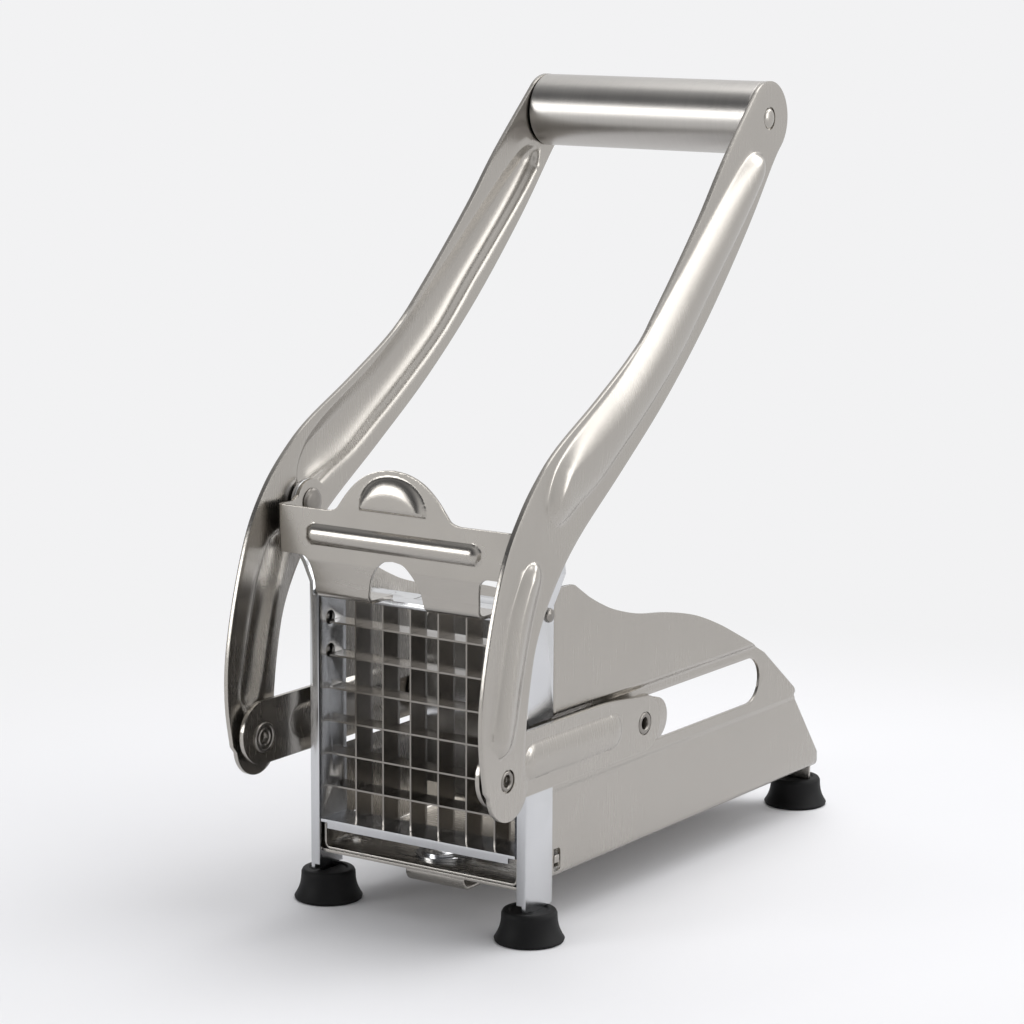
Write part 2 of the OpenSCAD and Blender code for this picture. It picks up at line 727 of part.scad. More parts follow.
module handle_rivets() color(bright_steel) placed() for (side = [-1, 1]) on_side(side) lever_frame()
    turned_x(handle_reach, 0, [
        [handle_half - 3.3, 0], [handle_half - 3.3, 4], [handle_half - 2.3 - eps, 4.4],
        [handle_half - 2.3 - eps, 2.5], [handle_half + arm_t - 0.1, 2.5],
        [handle_half + arm_t - 0.1, 3.5], [handle_half + arm_t + 0.4, 3.3],
        [handle_half + arm_t + 0.85, 2.4], [handle_half + arm_t + 1.05, 0]
    ]);

// Hollow rivets in the arms at the front pivot
module arm_eyelets() color(bright_steel) placed() for (side = [-1, 1]) on_side(side) lever_frame()
    turned_x(pivot[0], pivot[1], [
        [arm_in - 0.4, 1.7], [arm_in - 0.4, 4.3], [arm_in - 0.02, 4.3], [arm_in - 0.02, eyelet_r - eps],
        [arm_out - 0.68, eyelet_r - eps], [arm_out - 0.68, 3.3], [arm_out - 0.3, 3.4],
        [arm_out - 0.1, 2.8], [arm_out - 0.3, 1.9], [arm_out - 0.9, 1.7]
    ]);

// ---- links ----

module link_outline() {
    rear = 9.4;
    front = 10.45;
    polygon(concat(
        arc([link_front[0] - 0.1, 61.05], front, 90, 270, 16),
        arc([link_y, link_z], rear, -90, 70, 14),
        smooth([[link_y - 4, link_z + rear + 0.1], [44, 71.2], [30, 71.5]], 3)
    ));
}

module link(side) color(steel) placed() on_side(side) {
    path = [[-0.8, 61.2, 5.3], [20, 61.2, 5.3], [link_y - 17, 61.2, 5.3]];
    difference() {
        union() {
            along_x(link_in, link_out) link_outline();
            rib_x(path, link_rib_h, link_out);
        }
        rib_x(narrower(path, 0.6), link_rib_h, link_in);
        pin_x(link_y, link_z, link_pin_r + pin_gap, link_in - 1, link_out + 1);
        pin_x(link_y, link_z, 3.9, link_out - 0.6, link_out + 1);
        pin_x(link_front[0], link_front[1], eyelet_r, link_in - 1, link_out + 1);
    }
}

module link_left() { link(-1); }
module link_right() { link(1); }

// Flanged rings in the front eyes of the links
module link_eyelets() color(bright_steel) placed() for (side = [-1, 1]) on_side(side)
    turned_x(link_front[0], link_front[1], [
        [link_in - 0.8, 2.1], [link_in - 0.8, 4.6], [link_in - 0.3, 5], [link_in - 0.02, 5],
        [link_in - 0.02, eyelet_r - eps], [link_out, eyelet_r - eps], [link_out, 2.1], [link_in, 1.7]
    ]);

// ---- pusher ----

module pusher_plate() color(bright_steel) placed() {
    bend = 2.6;
    depth = 8;
    side = concat(
        [[pusher_y + depth, pusher_top]],
        arc([pusher_y + bend, pusher_top - bend], bend, 90, 180, 6),
        arc([pusher_y + bend, pusher_bottom + bend], bend, 180, 270, 6),
        [[pusher_y + depth, pusher_bottom]]
    );
    low = 28.8;
    corner = 14;
    front = concat(
        [[-33, low], [-33, pusher_bottom], [33, pusher_bottom], [33, low], [pusher_half, low]],
        arc([pusher_half - corner, pusher_top - corner], corner, 0, 90, 10),
        arc([corner - pusher_half, pusher_top - corner], corner, 90, 180, 10),
        [[-pusher_half, low]]
    );
    difference() {
        union() {
            intersection() {
                along_x(-pusher_half, pusher_half) polygon(folded(side, pusher_t));
                along_y(pusher_y - 5, pusher_y + depth + 5) polygon(front);
            }
            for (s = [-1, 1]) on_side(s) along_x(pusher_half - pusher_t, pusher_half) {
                translate([pusher_y + 0.4, 46]) square([11, 27]);
                translate([pusher_y + 11, 49]) square([4.4, 21]);
            }
        }
        pin_x(link_y, link_z, link_pin_r, -60, 60);
    }
}

module runner_outline(r) {
    for (y = [runner_front, runner_rear]) translate([y, runner_z]) circle(r);
    translate([runner_front, runner_z - r]) square([runner_rear - runner_front, 2 * r]);
}

// Runners that ride in the side slots and carry the links
module pusher_runners() color(steel) placed() for (side = [-1, 1]) on_side(side) difference() {
    union() {
        along_x(pusher_half + 0.05, runner_out) runner_outline(4.5);
        along_x(wall_in + sheet_gap, runner_out) runner_outline(runner_r);
        pin_x(link_y, link_z, 4.6, runner_out - eps, link_in - 0.1);
    }
    pin_x(link_y, link_z, link_pin_r, 0, 100);
}

module link_pins() color(bright_steel) placed() for (side = [-1, 1]) on_side(side)
    turned_x(link_y, link_z, [
        [pusher_half - pusher_t - 0.9, 1.8], [pusher_half - pusher_t - 0.9, 3.3], [pusher_half - pusher_t - 0.02, 3.4],
        [pusher_half - pusher_t - 0.02, link_pin_r - eps], [link_in - 0.2, link_pin_r - eps],
        [link_in - 0.2, link_pin_r], [link_out - 0.55, link_pin_r], [link_out - 0.55, 3.6], [link_out - 0.1, 3.7],
        [link_out + 0.25, 3.1], [link_out, 2.1], [link_out - 0.7, 1.8]
    ]);

trough();
post_left();
post_right();
base_channel();
frame_rivets();
foot_front_left();
foot_front_right();
foot_rear_left();
foot_rear_right();
base_clip();
clip_rivet();
cartridge_frame();
vertical_blades();
horizontal_blades();
fulcrum_pins();
clamp_plate();
arm_left();
arm_right();
handle_tube();
handle_plugs();
handle_rivets();
arm_eyelets();
link_left();
link_right();
link_eyelets();
pusher_plate();
pusher_runners();
link_pins();
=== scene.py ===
# A hand lever french fry cutter in stainless steel, put together from the table up.
import json
import math

import bpy
from mathutils import Matrix, Vector


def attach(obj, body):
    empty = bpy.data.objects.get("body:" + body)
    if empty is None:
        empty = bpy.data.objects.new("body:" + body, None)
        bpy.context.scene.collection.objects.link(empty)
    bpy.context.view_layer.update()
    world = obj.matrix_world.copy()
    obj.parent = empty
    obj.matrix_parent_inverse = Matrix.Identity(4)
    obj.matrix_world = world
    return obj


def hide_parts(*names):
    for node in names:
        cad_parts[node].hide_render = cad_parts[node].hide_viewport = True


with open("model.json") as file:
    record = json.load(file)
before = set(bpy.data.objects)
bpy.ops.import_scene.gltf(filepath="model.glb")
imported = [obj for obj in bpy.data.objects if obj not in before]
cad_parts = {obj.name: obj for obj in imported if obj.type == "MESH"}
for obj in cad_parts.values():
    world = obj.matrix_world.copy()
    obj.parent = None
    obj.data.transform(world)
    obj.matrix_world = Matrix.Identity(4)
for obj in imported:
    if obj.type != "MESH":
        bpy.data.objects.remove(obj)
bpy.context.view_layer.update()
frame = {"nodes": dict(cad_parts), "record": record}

# ---- Camera ----
# A long lens low on the right of the blades. Its place was measured from the front of the posts,
# and the part's origin lies behind them.
origin_y = 87.18
camera_data = bpy.data.cameras.new("camera")
camera = bpy.data.objects.new("camera", camera_data)
bpy.context.scene.collection.objects.link(camera)
sensor_width, picture_pixels, focal_pixels = 36, 1024, 3210.7
camera_data.sensor_width = sensor_width
camera_data.lens = focal_pixels / picture_pixels * sensor_width
camera_data.clip_start = 0.01
camera_place = (0.5871, -0.8084 - origin_y / 1000, 0.3159)
yaw, pitch, roll = math.radians(34.242), math.radians(10.259), math.radians(0.267)
camera.matrix_world = (
    Matrix.Translation(camera_place)
    @ Matrix.Rotation(yaw, 4, "Z")
    @ Matrix.Rotation(math.pi / 2 - pitch, 4, "X")
    @ Matrix.Rotation(roll, 4, "Z")
)
bpy.context.scene.camera = camera
bpy.context.scene.view_settings.view_transform = "Standard"


# ---- Floor, room and lamps ----
# A pale matt floor in a pale room that is darker at the front left, under four soft lamps. The
# paint takes the shadow, and further out it fades into a glow as bright as the room.
def linear(code):
    """An sRGB hex colour as linear red, green, blue and alpha."""
    parts = [int(code[i : i + 2], 16) / 255 for i in (1, 3, 5)]
    return (*[p / 12.92 if p <= 0.04045 else ((p + 0.055) / 1.055) ** 2.4 for p in parts], 1)


def add_node(tree, kind, settings=None, **links):
    """One node. Settings go by their own names or a socket's. A link names a socket, _ for a space."""
    made = tree.nodes.new(kind)
    for key, value in (settings or {}).items():
        if hasattr(made, key):
            setattr(made, key, value)
        else:
            made.inputs[key].default_value = value
    for key, output in links.items():
        tree.links.new(output, made.inputs[key.replace("_", " ")])
    return made


def lamp(name, place, target, width, height, power):
    """A soft box at a place, aimed at a target, with its power in watts."""
    data = bpy.data.lights.new(name, "AREA")
    data.shape, data.size, data.size_y, data.energy = "RECTANGLE", width, height, power
    made = bpy.data.objects.new(name, data)
    bpy.context.scene.collection.objects.link(made)
    aim = Vector(target) - Vector(place)
    made.matrix_world = Matrix.Translation(place) @ aim.to_track_quat("-Z", "Y").to_matrix().to_4x4()


bpy.ops.object.select_all(action="DESELECT")
bpy.ops.mesh.primitive_circle_add(vertices=96, radius=30, fill_type="NGON", location=(0, 0, 0))
floor = bpy.context.object
floor.name = "floor"
floor_paint = bpy.data.materials.new("matt_floor")
floor_paint.use_nodes = True
tree = floor_paint.node_tree
tree.nodes.clear()
paint = add_node(tree, "ShaderNodeBsdfDiffuse", {"Color": linear("#E6E6E8")})
glow = add_node(tree, "ShaderNodeEmission", {"Color": linear("#F2F2F3"), "Strength": 1.0})
distance = add_node(tree, "ShaderNodeVectorMath", {"operation": "LENGTH"})
tree.links.new(add_node(tree, "ShaderNodeTexCoord").outputs["Object"], distance.inputs[0])
paint_end, glow_start = 0.14, 0.42
fade = add_node(
    tree, "ShaderNodeMapRange",
    {"interpolation_type": "SMOOTHSTEP", "From Min": paint_end, "From Max": glow_start},
    Value=distance.outputs["Value"],
)
mixed = add_node(tree, "ShaderNodeMixShader")
tree.links.new(fade.outputs["Result"], mixed.inputs[0])
tree.links.new(paint.outputs[0], mixed.inputs[1])
tree.links.new(glow.outputs[0], mixed.inputs[2])
add_node(tree, "ShaderNodeOutputMaterial", Surface=mixed.outputs[0])
floor.data.materials.append(floor_paint)

room = bpy.data.worlds.new("room")
bpy.context.scene.world = room
room.use_nodes = True
tree = room.node_tree
tree.nodes.clear()
bright_side = Vector((0.5, 0.87, 0))
heading = add_node(tree, "ShaderNodeVectorMath", {"operation": "DOT_PRODUCT"})
tree.links.new(add_node(tree, "ShaderNodeTexCoord").outputs["Generated"], heading.inputs[0])
heading.inputs[1].default_value = bright_side
turned_to = add_node(
    tree, "ShaderNodeMapRange", {"From Min": -1.0, "From Max": 1.0}, Value=heading.outputs["Value"]
)
shade = add_node(tree, "ShaderNodeValToRGB", Fac=turned_to.outputs["Result"])
shade.color_ramp.elements[0].position = 0.12
shade.color_ramp.elements[0].color = linear("#4C4D50")
shade.color_ramp.elements[1].position = 0.56
shade.color_ramp.elements[1].color = linear("#F2F2F3")
air = add_node(tree, "ShaderNodeBackground", Color=shade.outputs["Color"])
add_node(tree, "ShaderNodeOutputWorld", Surface=air.outputs[0])

lamp("top_lamp", (0.1, 0.3, 1.6), (0, 0, 0.1), 1.6, 1.2, 13)
lamp("left_lamp", (-0.95, -1.35, 0.5), (0, 0, 0.15), 0.7, 0.6, 7)
lamp("right_lamp", (1.5, 0.65, 0.6), (0, 0, 0.15), 0.7, 0.8, 5)
lamp("back_lamp", (0.85, 1.25, 1.05), (0, 0, 0.1), 0.9, 0.5, 5)


# ---- Finish of the steel ----
# Everything but the feet is 18/8 stainless steel, rolled, brushed or ground. Each grain line is a
# little duller or brighter than the next, and handling leaves faint cloudy patches. Real grain
# lines are under 0.1 mm wide, and these are drawn 0.3 to 0.5 mm wide so that they show.
patch_size = 28


def satin_steel(name, colour, roughness, grain, depth):
    """Stainless steel. grain is the size of a grain line in millimetres along X, Y and Z."""
    made = bpy.data.materials.new(name)
    made.use_nodes = True
    tree = made.node_tree
    shader = tree.nodes["Principled BSDF"]
    shader.inputs["Metallic"].default_value = 1.0
    place = add_node(tree, "ShaderNodeTexCoord").outputs["Object"]
    scale = [1000 / length for length in grain]
    stretch = add_node(tree, "ShaderNodeMapping", {"Scale": scale}, Vector=place)
    lines = add_node(tree, "ShaderNodeTexNoise", {"Scale": 1.0, "Detail": 2.0}, Vector=stretch.outputs[0])
    patches = add_node(tree, "ShaderNodeMapping", {"Scale": [1000 / patch_size] * 3}, Vector=place)
    clouds = add_node(tree, "ShaderNodeTexNoise", {"Scale": 1.0, "Detail": 4.0}, Vector=patches.outputs[0])
    both = add_node(tree, "ShaderNodeMath", {"operation": "ADD"})
    tree.links.new(lines.outputs["Fac"], both.inputs[0])
    tree.links.new(clouds.outputs["Fac"], both.inputs[1])
    spread = {"From Min": 0.7, "From Max": 1.3}
    rough = add_node(
        tree, "ShaderNodeMapRange", {**spread, "To Min": roughness * 0.92, "To Max": roughness * 1.08},
        Value=both.outputs[0],
    )
    tree.links.new(rough.outputs["Result"], shader.inputs["Roughness"])
    share = add_node(tree, "ShaderNodeMapRange", spread, Value=both.outputs[0])
    tint = add_node(tree, "ShaderNodeMix", {"data_type": "RGBA"})
    tree.links.new(share.outputs["Result"], tint.inputs[0])
    tint.inputs[6].default_value = (*[c * (1 - depth) for c in linear(colour)[:3]], 1)
    tint.inputs[7].default_value = (*[c * (1 + depth) for c in linear(colour)[:3]], 1)
    tree.links.new(tint.outputs[2], shader.inputs["Base Color"])
    return made


# Brushed sheet: warm grey, with upright grain that softens what it mirrors.
sheet_steel = satin_steel("satin_sheet_steel", "#AEAAA4", 0.26, (12, 0.35, 12), 0.025)
# Bright rolled strip: the palest and smoothest, so posts and cartridge show the room.
bright_steel = satin_steel("bright_steel", "#CDCED0", 0.22, (0.3, 9, 9), 0.03)
# Ground strip with level grinding lines along the blades. Its darker colour is painted shade for the dark
# cells between them.
blade_steel = satin_steel("blades_with_painted_shade", "#8E8A85", 0.24, (6, 6, 0.5), 0.03)
# Linished tube: rings of grain spread the light into one broad band along the handle.
tube_steel = satin_steel("linished_tube_steel", "#B7B4B0", 0.33, (0.5, 90, 90), 0.03)
# Upset rivet heads: dull and a little blotched. Their colour, darker than the sheet, is painted shade for
# their hollow bores and heads.
rivet_steel = satin_steel("dull_rivet_steel", "#8C8883", 0.32, (2, 2, 2), 0.08)
# Moulded rubber: plain black with a faint broad sheen.
rubber = bpy.data.materials.new("black_foot_rubber")
rubber.use_nodes = True
rubber_shader = rubber.node_tree.nodes["Principled BSDF"]
rubber_shader.inputs["Base Color"].default_value = linear("#070708")
rubber_shader.inputs["Roughness"].default_value = 0.6
rubber_shader.inputs["Specular IOR Level"].default_value = 0.25

finishes = {
    "trough_steel": sheet_steel, "bright_steel": bright_steel, "blade_steel": blade_steel,
    "handle_steel": tube_steel, "rubber": rubber,
}
slots = {s["node"]: s["material_slot"] for s in frame["record"]["subparts"]}
# The solids under the finished pieces get the same finishes.
for name, piece in frame["nodes"].items():
    piece.data.materials.clear()
    piece.data.materials.append(finishes[slots[name]])


# ---- Arms ----
# Each arm is blanked from 1.5 mm sheet and pressed with a long hollow rib above the fulcrum and a
# short one below it. It leans in from the fulcrum to the handle, where a rivet holds it.
def glide(points, steps=6):
    """A smooth curve through points, which are tuples of any size."""
    curve = []
    for i in range(len(points) - 1):
        a, b = points[max(i - 1, 0)], points[i]
        c, d = points[i + 1], points[min(i + 2, len(points) - 1)]
        for k in range(steps):
            t = k / steps
            curve.append(tuple(
                0.5 * (
                    2 * q + (r - p) * t + (2 * p - 5 * q + 4 * r - s) * t * t
                    + (3 * q - p - 3 * r + s) * t**3
                )
                for p, q, r, s in zip(a, b, c, d)
            ))
    return curve + [tuple(points[-1])]


def even(curve, count):
    """count points at equal distances along a curve, its ends included."""
    run = [0.0]
    for a, b in zip(curve, curve[1:]):
        run.append(run[-1] + math.dist(a, b))
    found, i = [], 0
    for k in range(count):
        want = run[-1] * k / (count - 1)
        while i < len(run) - 2 and run[i + 1] < want:
            i += 1
        t = min(max((want - run[i]) / max(run[i + 1] - run[i], 1e-9), 0), 1)
        found.append(tuple(p + (q - p) * t for p, q in zip(curve[i], curve[i + 1])))
    return found


def bow(centre, radius, start, stop, count):
    """Points on an arc, its angles in degrees."""
    return [
        (centre[0] + radius * math.cos(a), centre[1] + radius * math.sin(a))
        for a in (math.radians(start + (stop - start) * k / (count - 1)) for k in range(count))
    ]


def read_off(table, place):
    """The values of a table at a place, which is its first column. Past its ends they stay the same."""
    if place <= table[0][0]:
        return table[0][1:]
    for a, b in zip(table, table[1:]):
        if place <= b[0]:
            t = (place - a[0]) / max(b[0] - a[0], 1e-9)
            return tuple(p + (q - p) * t for p, q in zip(a[1:], b[1:]))
    return table[-1][1:]


def in_rib(rib, point):
    """A point of the sheet in a rib's own axes, along and across it."""
    x, y = point[0] - rib["start"][0], point[1] - rib["start"][1]
    turn = math.radians(rib["turn"])
    return x * math.cos(turn) + y * math.sin(turn), (y * math.cos(turn) - x * math.sin(turn)) * rib["hand"]


def rib_height(rib, point):
    """Height of a pressed rib, round in front of its crest and creased at its rear foot."""
    along, across = in_rib(rib, point)
    first, last = rib["table"][0][0], rib["table"][-1][0]
    if not first < along < last:
        return 0.0
    rear, crest, front = read_off(rib["table"], along)
    if not rear < across < front:
        return 0.0
    if across > crest:
        slope = (1 - ((across - crest) / (front - crest)) ** rib["blunt"]) ** rib["soft"]
    else:
        slope = (1 - ((crest - across) / (crest - rear)) ** 2) ** rib["crisp"]
    end = min((along - first) / rib["head"], (last - along) / rib["tail"], 1)
    return rib["height"] * slope * (1 - (1 - end) ** 2) ** 0.6


def pick_none():
    """Leaves edit mode and selects nothing."""
    if bpy.context.object and bpy.context.object.mode == "EDIT":
        bpy.ops.object.mode_set(mode="OBJECT")
    bpy.ops.object.select_all(action="DESELECT")


def pick(piece):
    """Selects one piece alone."""
    pick_none()
    piece.select_set(True)
    bpy.context.view_layer.objects.active = piece


def in_edit(piece, *steps):
    """Runs edit-mode steps on the whole of a piece."""
    pick(piece)
    bpy.ops.object.mode_set(mode="EDIT")
    for step in steps:
        bpy.ops.mesh.select_all(action="SELECT")
        step()
    bpy.ops.object.mode_set(mode="OBJECT")


def merge(reach):
    """An edit-mode step that joins points closer than a reach in millimetres."""
    return lambda: bpy.ops.mesh.remove_doubles(threshold=reach / 1000)


def outward():
    """An edit-mode step that turns all faces outwards."""
    bpy.ops.mesh.normals_make_consistent(inside=False)


def apply_all(piece):
    """Applies a piece's modifiers in order."""
    pick(piece)
    for modifier in list(piece.modifiers):
        bpy.ops.object.modifier_apply(modifier=modifier.name)


def skin(name, rows):
    """A grid laid over rows of points in millimetres, measured from the front of the posts."""
    pick_none()
    bpy.ops.mesh.primitive_grid_add(x_subdivisions=len(rows[0]) - 1, y_subdivisions=len(rows) - 1, size=1)
    piece = bpy.context.object
    piece.name = name
    for vertex, (x, y, z) in zip(piece.data.vertices, (p for row in rows for p in row)):
        vertex.co = (x / 1000, (y - origin_y) / 1000, z / 1000)
    in_edit(piece, merge(0.04))
    return piece


def thicken(piece, thickness):
    """Gives a skin a thickness in millimetres, behind its faces, or before them if it is below 0."""
    wall = piece.modifiers.new("wall", "SOLIDIFY")
    wall.thickness, wall.offset, wall.use_even_offset = thickness / 1000, -1, False
    apply_all(piece)
    in_edit(piece, outward)


def cut(piece, cutter, how="DIFFERENCE", solver="EXACT"):
    """Cuts a piece with another mesh, which is then removed."""
    knife = piece.modifiers.new("knife", "BOOLEAN")
    knife.object, knife.operation, knife.solver = cutter, how, solver
    apply_all(piece)
    bpy.data.objects.remove(cutter)


def prism(outline, axis, start, stop):
    """A solid with an outline across X of (y, z) points, or across Y of (x, z) points."""
    pick_none()
    bpy.ops.mesh.primitive_circle_add(vertices=len(outline), fill_type="NGON")
    piece = bpy.context.object
    for vertex, (a, b) in zip(piece.data.vertices, outline):
        place = (start, a - origin_y, b) if axis == "X" else (a, start - origin_y, b)
        vertex.co = [v / 1000 for v in place]
    run = (stop - start) / 1000
    move = (run, 0, 0) if axis == "X" else (0, run, 0)

    def draw_out():
        bpy.ops.mesh.extrude_region_move(TRANSFORM_OT_translate={"value": move})

    in_edit(piece, draw_out, outward)
    return piece


past_side = 60  # x in millimetres, beyond every piece


def bore(piece, centre, radius, start):
    """Cuts a round hole along X, from start out past the right side. Its centre is y and z."""
    cut(piece, prism(bow(centre, radius, 0, 352.5, 48), "X", start, past_side))


def finish_edges(piece, width, angle=50):
    """Breaks edges sharper than an angle by a width in millimetres and shades the piece smooth."""
    in_edit(piece, merge(0.015), outward)
    edge = piece.modifiers.new("edge", "BEVEL")
    edge.width, edge.segments, edge.limit_method = width / 1000, 2, "ANGLE"
    edge.angle_limit = math.radians(angle)
    apply_all(piece)
    bpy.ops.object.shade_smooth_by_angle(angle=math.radians(38))


def other_side(piece, name):
    """A mirror copy of a piece across the middle of the cutter."""
    pick(piece)
    bpy.ops.object.duplicate()
    twin = bpy.context.object
    twin.name = name
    for vertex in twin.data.vertices:
        vertex.co.x = -vertex.co.x
    in_edit(twin, bpy.ops.mesh.flip_normals)
    return twin


def dress(piece, node, body, finish=None):
    """Gives a piece its finish and its body, and hides the solid that it stands for."""
    piece.data.materials.clear()
    piece.data.materials.append(finish or finishes[slots[node]])
    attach(piece, body)
    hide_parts(node)


def dress_pair(piece, stem, body):
    """Dresses a piece on the right and its mirror copy on the left, each for its own node."""
    dress(other_side(piece, "left_" + stem), stem + "_left", body)
    piece.name = "right_" + stem
    dress(piece, stem + "_right", body)


fulcrum = (4.5, 133.0)
lever_rest = math.radians(41.7)
arm_in, sheet, arm_bend, arm_lean = 48.65, 1.5, -8.0, math.radians(1.342)
lower_end, handle_reach = (-69.3, -40.3), 182
eyelet_at, rivet_at = (-68, -37.85), (handle_reach, 0)


def lever_point(along, across):
    """y and z of a place along and across the lever."""
    return (
        fulcrum[0] + along * math.cos(lever_rest) - across * math.sin(lever_rest),
        fulcrum[1] + along * math.sin(lever_rest) + across * math.cos(lever_rest),
    )


def arm_face(along):
    """x of the outer face of the right arm."""
    return arm_in + sheet - max(0.0, along - arm_bend) * math.sin(arm_lean)


# A row of a rib's table is a place along it, then its rear foot, crest and front foot across it.
long_rib = {
    "start": (0, 0), "turn": 0, "hand": 1, "height": 3.2, "blunt": 1.6, "soft": 1.05,
    "crisp": 0.62, "head": 10, "tail": 8,
    "table": glide([
        (1.2, 2.2, 4.2, 6.2), (2.8, 0.2, 5.4, 9.0), (6, -1.2, 7, 11.6), (11, -2.6, 8.6, 13.6),
        (17, -4.4, 9.2, 14.4), (28, -7.9, 5.4, 13.4), (43, -10.2, 0.8, 10.0), (55, -12, -2.0, 7.4),
        (72, -14, -4.4, 5.4), (90, -15.2, -5.8, 4.7), (111, -14.2, -6.2, 4.2), (134, -13.5, -6, 3.7),
        (150, -12.7, -5.6, 3.0), (160, -11.7, -5.5, 1.9), (166, -10.6, -5.5, -0.1),
        (169.8, -7.0, -5.6, -4.2),
    ], 3),
}
short_rib = {
    "start": (-12, 0), "turn": 209.9, "hand": -1, "height": 2.7, "blunt": 1.7, "soft": 1.1,
    "crisp": 1.3, "head": 7, "tail": 6,
    "table": glide([
        (0.3, 0.8, 2.0, 3.2), (1.5, -1.3, 2.7, 5.4), (4, -2.8, 3.8, 7.4), (10, -3, 5.4, 9.2),
        (20, -2.4, 6.2, 10.6), (35, -2.9, 5.6, 9.8), (48, -4.1, 4.6, 8.6), (55, -3.8, 3.4, 7.6),
        (59, -1.9, 2.4, 5.4), (61, 1.4, 2.1, 2.8),
    ], 3),
}
front_edge = glide([
    (-77.6, -31.5), (-70, -19.5), (-59.1, -8), (-41.8, 4.4), (-24, 14), (-9, 18), (5, 18.9), (20, 17.4),
    (45, 11.1), (71, 5.9), (93, 5.7), (126, 7.7), (151, 10.7), (182, 12.5),
])
rear_edge = glide([
    (-61, -44.5), (-53.5, -36), (-41.7, -26), (-28.6, -17.6), (-11.8, -12.7), (7.7, -11.9), (39.3, -15.9),
    (72.6, -19.4), (109, -19.9), (146.4, -17.1), (174, -13), (182, -12.5),
])


rear_room, front_room = 4, 3  # least width of the rows behind and before a crest


def rib_shares(rib, rear, front):
    """Where a rib's rear foot, crest and front foot lie on the line from the rear edge to the front."""
    count, shares = 60, []
    steps = [tuple(r + (f - r) * k / count for r, f in zip(rear, front)) for k in range(count + 1)]
    for line in range(3):
        share = 1.0
        for k, step in enumerate(steps):
            along, across = in_rib(rib, step)
            feet = read_off(rib["table"], along)
            wide = (min(feet[0], feet[1] - rear_room), feet[1], max(feet[2], feet[1] + front_room))
            if across > wide[line]:
                share = k / count
                break
        shares.append(min(max(share, 0.08 + 0.02 * line), 0.88 + 0.02 * line))
    return shares


def even_shares(shares, reach=6):
    """Shares averaged over the rows beside them."""
    found = []
    for i in range(len(shares)):
        near = shares[max(0, i - reach) : i + reach + 1]
        found.append([sum(s[k] for s in near) / len(near) for k in range(3)])
    return found


lower_radius, upper_radius = 10.3, 12.5
front_side = (
    even(bow(lower_end, lower_radius, 234.5, 138, 16), 16)[:-1] + even(front_edge, 400)
    + even(bow((handle_reach, 0), upper_radius, 90, 0, 24), 24)[1:]
)
rear_side = (
    even(bow(lower_end, lower_radius, 234.5, 331, 16), 16)[:-1] + even(rear_edge, 400)
    + even(bow((handle_reach, 0), upper_radius, -90, 0, 24), 24)[1:]
)
# Below the fulcrum the rows follow the short rib, and above it the long one.
change_start, change_run = -12, 14
shares = []
for front, rear in zip(front_side, rear_side):
    middle = (front[0] + rear[0]) / 2
    upper, lower = rib_shares(long_rib, rear, front), rib_shares(short_rib, rear, front)
    mix = min(max((middle - change_start) / change_run, 0), 1)
    shares.append([low + (up - low) * mix for up, low in zip(upper, lower)])
# Cells from the rear edge to the foot of the rib, its crest, its other foot and the front edge.
arm_rows, arm_cells = [], (5, 12, 11, 4)
for front, rear, share in zip(front_side, rear_side, even_shares(shares)):
    stops, row = [0, *share, 1], []
    for first, last, cells in zip(stops, stops[1:], arm_cells):
        row += [first + (last - first) * k / cells for k in range(cells)]
    places = [tuple(r + (f - r) * t for r, f in zip(rear, front)) for t in row + [1]]
    arm_rows.append([
        (arm_face(p[0]) + rib_height(long_rib, p) + rib_height(short_rib, p), *lever_point(*p))
        for p in places
    ])
arm = skin("arm", arm_rows)
thicken(arm, -sheet)
rivet_bore, before_arm = 2.6, 40
for place, sink_depth, sink_radius in ((eyelet_at, 0.9, 3.7), (rivet_at, 0.7, 3.9)):
    bore(arm, lever_point(*place), rivet_bore, before_arm)
    bore(arm, lever_point(*place), sink_radius, arm_face(place[0]) - sink_depth)
finish_edges(arm, 0.35)
dress_pair(arm, "arm", "lever")


# ---- Links ----
# Two flat links of the same sheet with one pressed rib join the arms' lower ends to the pusher.
link_in, link_front, link_pin = 45.25, (-21.1, 59.5), (63.6, 60.1)
link_nose, nose_radius, tail_radius = (-21.2, 61.05), 10.45, 9.4
link_top = (
    even(bow(link_nose, nose_radius, 180, 90, 16), 16)[:-1]
    + even(glide([(-21.2, 71.5), (10, 71.5), (30, 71.5), (44, 71.2), (59.6, 69.6), (66.8, 68.9)]), 120)
    + even(bow(link_pin, tail_radius, 70, 0, 12), 12)[1:]
)
link_low = (
    even(bow(link_nose, nose_radius, 180, 270, 16), 16)[:-1] + even([(-21.2, 50.6), (63.6, 50.7)], 120)
    + even(bow(link_pin, tail_radius, -90, 0, 12), 12)[1:]
)
link_rib = {
    "start": (-7, 61.2), "turn": 0, "hand": 1, "height": 1.25, "blunt": 2, "soft": 0.62,
    "crisp": 0.62, "head": 5, "tail": 5,
    "table": [
        (0, 0, 0, 0), (0.7, -2.7, 0, 2.7), (2.4, -4.8, 0, 4.8), (5, -5.6, 0, 5.6), (51.2, -5.6, 0, 5.6),
        (53.8, -4.8, 0, 4.8), (55.5, -2.7, 0, 2.7), (56.2, 0, 0, 0),
    ],
}
link_rows, link_cells = [], 42
for high, low in zip(link_top, link_low):
    row = []
    for k in range(link_cells + 1):
        y, z = (a + (b - a) * k / link_cells for a, b in zip(low, high))
        row.append((link_in + sheet + rib_height(link_rib, (y, z)), y, z))
    link_rows.append(row)
link = skin("link", link_rows)
thicken(link, -sheet)
before_link = 40
bore(link, link_pin, 2.95, before_link)
bore(link, link_pin, 3.9, link_in + 0.95)
bore(link, link_front, rivet_bore, before_link)
finish_edges(link, 0.3)
dress_pair(link, "link", "links")


